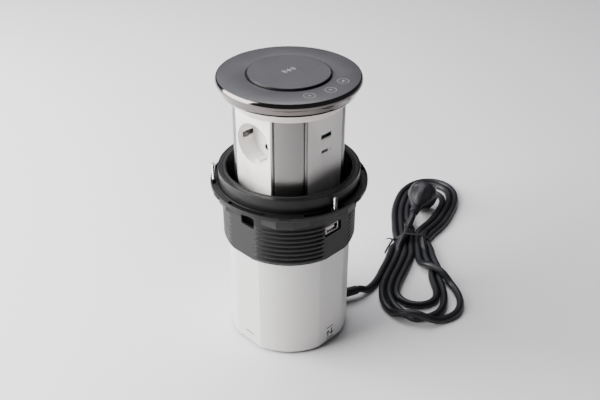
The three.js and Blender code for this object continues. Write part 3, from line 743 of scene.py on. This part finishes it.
def add_data_port():
    """The metal shell of the connector behind the collar's opening, its tongue and its contacts."""
    back, front, wall = 48, 60.2, 1
    outer = slot_outline(16.8, 8.8, 1.2)
    inner = slot_outline(16.8 - 2 * wall, 8.8 - 2 * wall, 0.8)
    levels = ((outer, back), (outer, front - 0.3), (outer, front), (inner, front), (inner, back + 2))
    rings = [[(x, y, z) for x, y in outline] for outline, z in levels]
    place = Matrix.Translation((0, *DATA_PORT))
    shell = turned(moved(facing_out(loft(rings, closed=False)), place), FLATS[1])
    piece("data_port_shell", shell, "housing", "steel", ["data_port"])
    tongue = turned(moved(facing_out(box((-5, 5), (-1.6, 0.8), (49, 58.8))), place), FLATS[1])
    finish(softened(mesh_object("data_port_tongue", tongue), 0.3), "housing", "white_plastic")
    strips = [facing_out(box((x - 0.45, x + 0.45), (0.75, 0.9), (52, 58.2))) for x in (-3.6, -1.2, 1.2, 3.6)]
    piece("data_port_contacts", turned(moved(merged(*strips), place), FLATS[1]), "housing", "brass")


# ---------- clamp ring ----------
CLAMP_TURN = 266.6
CLAMP_BORE, CLAMP_RADIUS = 65.3, 75.1
CLAMP_FLOOR, CLAMP_LEDGE, CLAMP_TOP, LUG_FLOOR = 170.3, 171.9, 174.4, 158.7
LUG_TURNS = [60 * i for i in range(6)]
SCREW_CIRCLE = 71.6
SCREW_TURNS = [38.4, 158.4, 278.4]
SCREW_TOPS = [186.5, 189, 191.5]


def lug(turn):
    """One corner of a blunted hexagon, cut off inside by the bore."""
    sections = []
    reach = 19.8
    tip = math.degrees(math.atan(8 / 69.7))
    steps = sorted({round(-reach + 2 * reach * k / 36, 4) for k in range(37)} | {tip, -tip})
    for step in steps:
        face = 69.7 / math.cos(math.radians(step))
        side = 64.3 / math.cos(math.radians(30 - abs(step)))
        outer = min(face, side)
        ease = min(0.7, outer - CLAMP_BORE - 0.02)
        top = CLAMP_FLOOR + 0.6
        section = [(CLAMP_BORE, LUG_FLOOR), (outer - ease, LUG_FLOOR),
                   (outer - 0.3 * ease, LUG_FLOOR + 0.3 * ease), (outer, LUG_FLOOR + ease),
                   (outer, top), (CLAMP_BORE, top)]
        sections.append([polar(r, turn + step, z) for r, z in section])
    return loft(sections, closed=False)


def sector(inner, outer, start, end, low, high):
    steps = max(3, round((end - start) / 2))
    return prism(arc(outer, start, end, steps) + arc(inner, end, start, steps), low, high)


def add_clamp_ring():
    flange = [(CLAMP_BORE, CLAMP_FLOOR), (CLAMP_RADIUS, CLAMP_FLOOR), (CLAMP_RADIUS, CLAMP_TOP),
              (69, CLAMP_TOP), (69, 174.9), (68.1, 174.9), (68.1, CLAMP_LEDGE), (CLAMP_BORE, CLAMP_LEDGE)]
    ring = mesh_object("threaded_clamp_ring", turned(lathe(rounded(flange, 0.5), 216), CLAMP_TURN))
    for turn in LUG_TURNS:
        pocket = sector(69.9, 73.6, turn + 14, turn + 46, CLAMP_TOP - 2.2, CLAMP_TOP + 2)
        combine(ring, turned(pocket, CLAMP_TURN))
    for turn in SCREW_TURNS:
        x, y, _ = polar(SCREW_CIRCLE - 0.2, turn)
        boss = prism(circle(3.6, 40, x, y), CLAMP_FLOOR + 0.5, CLAMP_TOP + 0.8)
        combine(ring, turned(boss, CLAMP_TURN), "UNION")
        x, y, _ = polar(SCREW_CIRCLE, turn)
        combine(ring, turned(prism(circle(2.3, 32, x, y), LUG_FLOOR, 180), CLAMP_TURN))
    lugs = [turned(lug(turn), CLAMP_TURN) for turn in LUG_TURNS]
    tabs = [turned(sector(73, 75.9, turn - 4, turn + 4, 171.2, 173.2), CLAMP_TURN) for turn in LUG_TURNS]
    for shape in lugs + tabs:
        combine(ring, shape, "UNION")
    finish(ring, "clamp_ring", "black_plastic", ["clamp_ring"], 24)


def threaded_stud(top, length=18, radius=1.95, pitch=0.8):
    """A helical thread, made by moving the wave of each row round with its height."""
    rows = round(length / pitch * 6)
    sections = []
    for k in range(rows + 1):
        z = top - length + length * k / rows
        ring = []
        for i in range(24):
            wave = abs(((z / pitch - i / 24) % 1) * 2 - 1)
            end = min(1.0, (top - z) / 0.7 + 0.72, (z - top + length) / 0.7 + 0.72)
            ring.append(polar((radius - 0.42 * wave) * end, 15 * i, z))
        sections.append(ring)
    return loft(sections, closed=False)


def add_clamp_screws():
    for i, (turn, top) in enumerate(zip(SCREW_TURNS, SCREW_TOPS)):
        stud = moved(threaded_stud(top), Matrix.Translation(polar(SCREW_CIRCLE, turn + CLAMP_TURN)))
        name = f"clamp_screw_{i + 1}"
        piece(f"clamp_stud_{i + 1}", stud, name, "steel", [name], 50)


# ---------- column ----------
COLUMN_RADIUS, COLUMN_FLAT = 51.5, 45.4
COLUMN_FOOT, COLUMN_TOP = 132.2, 255.6
PANEL_BACK, PANEL_HALF = 42.9, 22.2
SOCKET_RADIUS, SOCKET_Z = 19.5, 225.5
SOCKET_FLOOR = COLUMN_FLAT - 17.5


def beside_corner(out, along):
    return ((out - along) * math.sqrt(0.5), (out + along) * math.sqrt(0.5))


def add_corner_rails():
    lip = PANEL_BACK - 0.1
    half = arc(COLUMN_RADIUS, 90, 90 - 14.33, 14)
    half += [(12.95, 48.15), beside_corner(COLUMN_FLAT, 24.31), beside_corner(COLUMN_FLAT, 22.3),
             beside_corner(lip, 22.3), beside_corner(lip, 21.3), beside_corner(lip - 2, 21.3),
             beside_corner(lip - 2, 24.5)]
    half += arc(47.6, 76, 90, 6)
    outline = half + [(-x, y) for x, y in reversed(half[1:-1])]
    for i, turn in enumerate(CORNERS):
        shape = turned(prism(outline, COLUMN_FOOT, COLUMN_TOP), turn - 90)
        rail = softened(mesh_object(f"column_rail_{i + 1}", shape), 0.18, 28)
        finish(rail, "column", "satin_aluminium", [f"corner_profile_{i + 1}"], 20)


def panel(openings):
    """One white panel along +X with its openings cut and its edges rounded."""
    shape = box((PANEL_BACK, COLUMN_FLAT), (-PANEL_HALF, PANEL_HALF), (COLUMN_FOOT, COLUMN_TOP))
    plate = mesh_object("panel", shape)
    for shape in openings:
        combine(plate, shape)
    return softened(plate, 0.3, 40, 3)


def socket_cup():
    """The recess with its two guide ribs, two pin holes and the notches for the earth contacts."""
    floor = SOCKET_FLOOR
    profile = [(0, floor - 2), (20.9, floor - 2), (20.9, PANEL_BACK - 0.1), (19.95, PANEL_BACK - 0.1),
               (19.95, COLUMN_FLAT + 0.05), (19.8, COLUMN_FLAT + 0.2), (19.6, COLUMN_FLAT + 0.1),
               (SOCKET_RADIUS, COLUMN_FLAT - 0.3), (SOCKET_RADIUS, floor + 0.8), (19.2, floor + 0.2),
               (18.6, floor), (0, floor)]
    cup = mesh_object("cup", facing_out(lathe(profile, 96)))
    for side in (-1, 1):
        rib = [(-2.2, 15.9), (-1.6, 15.6), (1.6, 15.6), (2.2, 15.9), (2.2, 20.4), (-2.2, 20.4)]
        outline = [(x, side * (y + 2.1)) for x, y in rib]
        combine(cup, facing_out(prism(outline, floor - 1, PANEL_BACK - 2)), "UNION")
        combine(cup, facing_out(prism(circle(3, 40, 0, side * PINS[1]), floor - 4, floor + 2)))
        clip = sorted((side * 18.6, side * 23))
        combine(cup, facing_out(box(clip, (-2.8, 2.8), (floor - 3, floor + 12))))
    return taken(cup)


def at_pin_holes(outline):
    """An outline in radius and depth, turned round the middle of each of the two pin holes."""
    ring = facing_out(lathe(outline, 36))
    return merged(*[moved(ring, Matrix.Translation((0, 0, z))) for z in PINS])


def pin_sleeve():
    """The raised rims of the two pin holes."""
    low, high = SOCKET_FLOOR - 2.2, SOCKET_FLOOR + 0.25
    return at_pin_holes(rounded([(2.95, low), (3.7, low), (3.7, high), (2.95, high)], 0.2))


def pin_hole_painted_shade():
    """Black tubes in the two pin holes: painted shade for their dark throats."""
    low, high = SOCKET_FLOOR - 1.9, SOCKET_FLOOR + 0.1
    return at_pin_holes([(2.4, low), (2.9, low), (2.9, high), (2.4, high)])


def earth_clip():
    """The two sprung earth contacts, bent strips with a rounded nose."""
    back = SOCKET_FLOOR - 3.7
    line = [(back, 19.9), (30, 19.9), (32.5, 19.4), (34.5, 18.2), (36, 17.7), (37.5, 18.2), (38.8, 19.4),
            (39.2, 20)]
    shapes = [facing_out(box((-20.3, 20.3), (-2.2, 2.2), (back, back + 0.8)))]
    for side in (-1, 1):
        front = [(x, side * (y + 0.35)) for x, y in line]
        rear = [(x, side * (y - 0.35)) for x, y in reversed(line)]
        shapes.append(prism(front + rear, -2.2, 2.2))
    return merged(*shapes)


def add_sockets():
    raise_up = Matrix.Translation((0, 0, SOCKET_Z))
    opening = facing_out(prism(circle(SOCKET_RADIUS + 0.5, 128), PANEL_BACK - 1, COLUMN_FLAT + 1))
    plate = taken(panel([moved(opening, raise_up)]))
    cup, clip = moved(socket_cup(), raise_up), moved(earth_clip(), raise_up)
    sleeve, wells = moved(pin_sleeve(), raise_up), moved(pin_hole_painted_shade(), raise_up)
    for label, turn in (("left", FLATS[0]), ("rear_right", FLATS[2]), ("rear_left", FLATS[3])):
        piece(f"panel_{label}", turned(plate, turn), "column", "white_plastic",
              [f"socket_panel_{label}"], 24)
        piece(f"socket_{label}", turned(merged(cup, sleeve), turn), "column", "white_plastic",
              [f"socket_cup_{label}"], 30)
        # the earth clips take the darkened steel: painted shade of the recess
        piece(f"earth_clip_{label}", turned(clip, turn), "column", "steel", [f"earth_strap_{label}"],
              material="clip_steel_painted_shade")
        # black tubes in the pin holes: painted shade
        piece(f"pin_hole_painted_shade_{label}", turned(wells, turn), "column", "black_plastic")


# Each USB opening: width, height, corner radius, place along the flat, height above the floor.
USB_A = (13.7, 5, 0.5, 1.3, 233.7)
USB_C = (9, 3.4, 1.3, -0.2, 218.7)


def port(width, height, radius, y, z, back=34.0, wall=0.35):
    """A metal shell just inside a USB opening."""
    front = COLUMN_FLAT - 0.4
    width, height = width - 0.3, height - 0.3
    outer = slot_outline(width, height, radius - 0.05, y, z)
    inner = slot_outline(width - 2 * wall, height - 2 * wall, max(radius - 0.35, 0.1), y, z)
    levels = ((outer, back - 2), (outer, front), (inner, front), (inner, back))
    rings = [[(px, py, x) for px, py in outline] for outline, x in levels]
    return facing_out(loft(rings, closed=False))


def add_usb():
    openings = [facing_out(prism(slot_outline(*p), PANEL_BACK - 1, COLUMN_FLAT + 1)) for p in (USB_A, USB_C)]
    plate = taken(panel(openings))
    turn = FLATS[1]
    piece("panel_usb", turned(plate, turn), "column", "white_plastic", ["usb_panel"], 24)
    piece("usb_a_shell", turned(port(*USB_A), turn), "column", "steel", ["usb_a_port"])
    piece("usb_c_shell", turned(port(*USB_C), turn), "column", "steel", ["usb_c_port"])
    ya, za = USB_A[3:]
    yc, zc = USB_C[3:]
    blade_a = box((ya - 5.6, ya + 5.6), (za + 0.1, za + 1.5), (33, 43.9))
    blade_c = box((yc - 3.2, yc + 3.2), (zc - 0.35, zc + 0.35), (33, 43.6))
    tongues = (("usb_a_tongue", blade_a, "circuit_board"), ("usb_c_tongue", blade_c, "black_plastic"))
    for name, shape, material in tongues:
        blade = softened(mesh_object(name, turned(facing_out(shape), turn)), 0.15)
        finish(blade, "column", "black_plastic", material=material)
    spark = [(-0.5, 0), (0.2, 0), (0.1, 0.9), (0.7, 0.9), (-0.1, 2.4), (0, 1.3), (-0.7, 1.3)]
    outline = [(6.9 + x, 217.6 + y) for x, y in spark]
    mark = facing_out(prism(outline, COLUMN_FLAT - 0.04, COLUMN_FLAT + 0.05))
    piece("panel_usb_print", turned(mark, turn), "column", "black_plastic", material="print_dark")


# ---------- lid ----------
def add_lid():
    """The light ring, the bezel, the touch plate and the charging pad, with a black ring round the pad
    painted in as the shade of its groove.
    """
    diffuser = [(40, 255.9), (51.9, 255.9), (55.8, 260.6), (59.3, 265.9), (57, 265.9), (50, 257.6),
                (40, 257.6)]
    piece("light_ring", lathe(rounded(diffuser, 0.4), 240), "column", "ring_white", ["diffuser_ring"])
    bezel = [(56.9, 266.1), (61.2, 266.1), (61.8, 266.5), (63.0, 269.0), (64.1, 271.4), (65.1, 273.4),
             (65.7, 274.3), (66, 275.1), (66.05, 275.8), (65.9, 276.7), (65.55, 277.7), (65.15, 278.6),
             (64.85, 279.1), (64.6, 279.3), (64.4, 279.2), (64.4, 277.3), (61.4, 277.3), (60.4, 270.6)]
    piece("lid_trim_ring", lathe(bezel, 256), "column", "dark_chrome", ["lid_bezel"], 35)
    plate = rounded([(38.9, 277.5), (64.1, 277.5), (64.1, 279.5), (38.9, 279.5)], 0.35)
    piece("touch_surface", lathe(plate, 256), "column", "touch_glass", ["touch_plate"])
    pad = [(0, 272), (36, 272), (36, 277.5), (37.05, 277.5), (37.05, 281.3), (36.95, 281.4), (0, 281.4)]
    piece("phone_charging_pad", lathe(pad, 256), "column", "touch_glass", ["charging_pad"], 35)
    # a black ring in the groove and up the pad's edge: painted shade for the shadow gap round the raised pad
    groove = [(37.1, 277.6), (38.85, 277.6), (38.85, 278.3), (37.8, 278.3), (37.8, 280.8), (37.65, 281.15),
              (37.4, 281.3), (37.1, 281.3)]
    piece("pad_groove_painted_shade", lathe(groove, 200), "column", "black_plastic")


def ring_outline(radius, width, x, y):
    """A flat ring lying on the lid, as a turned outline moved to its place."""
    return moved(lathe([(radius - width, 0), (radius, 0), (radius, 0.06), (radius - width, 0.06)], 48),
                 Matrix.Translation((x, y, 279.48)))


def add_lid_marks():
    """Three touch marks and the charging mark, printed."""
    glyphs = [
        [[(-1.6, -0.9), (0, 1.1), (1.6, -0.9), (1.0, -1.2), (0, 0.1), (-1.0, -1.2)]],
        [[(-1.6, 0.9), (-1.0, 1.2), (0, -0.1), (1.0, 1.2), (1.6, 0.9), (0, -1.1)]],
        [circle(1.0, 16), [(-0.25, 1.4), (0.25, 1.4), (0.25, 2.2), (-0.25, 2.2)],
         [(-0.25, -2.2), (0.25, -2.2), (0.25, -1.4), (-0.25, -1.4)],
         [(1.4, -0.25), (2.2, -0.25), (2.2, 0.25), (1.4, 0.25)],
         [(-2.2, -0.25), (-1.4, -0.25), (-1.4, 0.25), (-2.2, 0.25)]],
    ]
    shapes = []
    for turn, outlines in zip((-70, -45, -20), glyphs):
        x, y, _ = polar(50, turn)
        shapes.append(ring_outline(5.2, 0.35, x, y))
        for outline in outlines:
            shapes.append(moved(prism(outline, 279.48, 279.54), Matrix.Translation((x, y, 0))))
    piece("touch_marks", merged(*shapes), "column", "touch_glass", material="print_white")
    bolt = [(0.4, 3.4), (-2.2, -0.5), (-0.4, -0.5), (-0.8, -3.6), (2.2, 0.7), (0.3, 0.7)]
    waves = []
    for side in (-1, 1):
        for radius in (4.6, 6.6):
            outer, inner = arc(radius, -32, 32, 8), arc(radius - 0.7, 32, -32, 8)
            waves.append([(side * x, y) for x, y in outer + inner])
    place = Matrix.Translation((0, 2.4, 0)) @ Matrix.Rotation(math.radians(42), 4, "Z")
    marks = [moved(prism(o, 281.38, 281.44), place) for o in [bolt, *waves]]
    piece("charging_mark", merged(*marks), "column", "touch_glass", material="print_white")


# ---------- CAD nodes that stay ----------
def dress_cad_nodes():
    slots = {row["node"]: row["material_slot"] for row in frame["record"]["subparts"]}
    for name, node in frame["nodes"].items():
        if node.hide_render:
            continue
        if node.material_slots:
            for slot in node.material_slots:
                slot.material = MATERIALS[slots[name]]


add_camera()
MATERIALS = make_materials()
LINE = cord_line()
CORD = add_cord(LINE)
ON_CORD = [add_strain_relief(), add_tie(LINE), *add_plug()]
add_studio()
add_floor()
add_housing()
add_housing_mark()
add_base()
add_collar()
add_data_port()
add_clamp_ring()
add_clamp_screws()
add_corner_rails()
add_sockets()
add_usb()
add_lid()
add_lid_marks()
dress_cad_nodes()
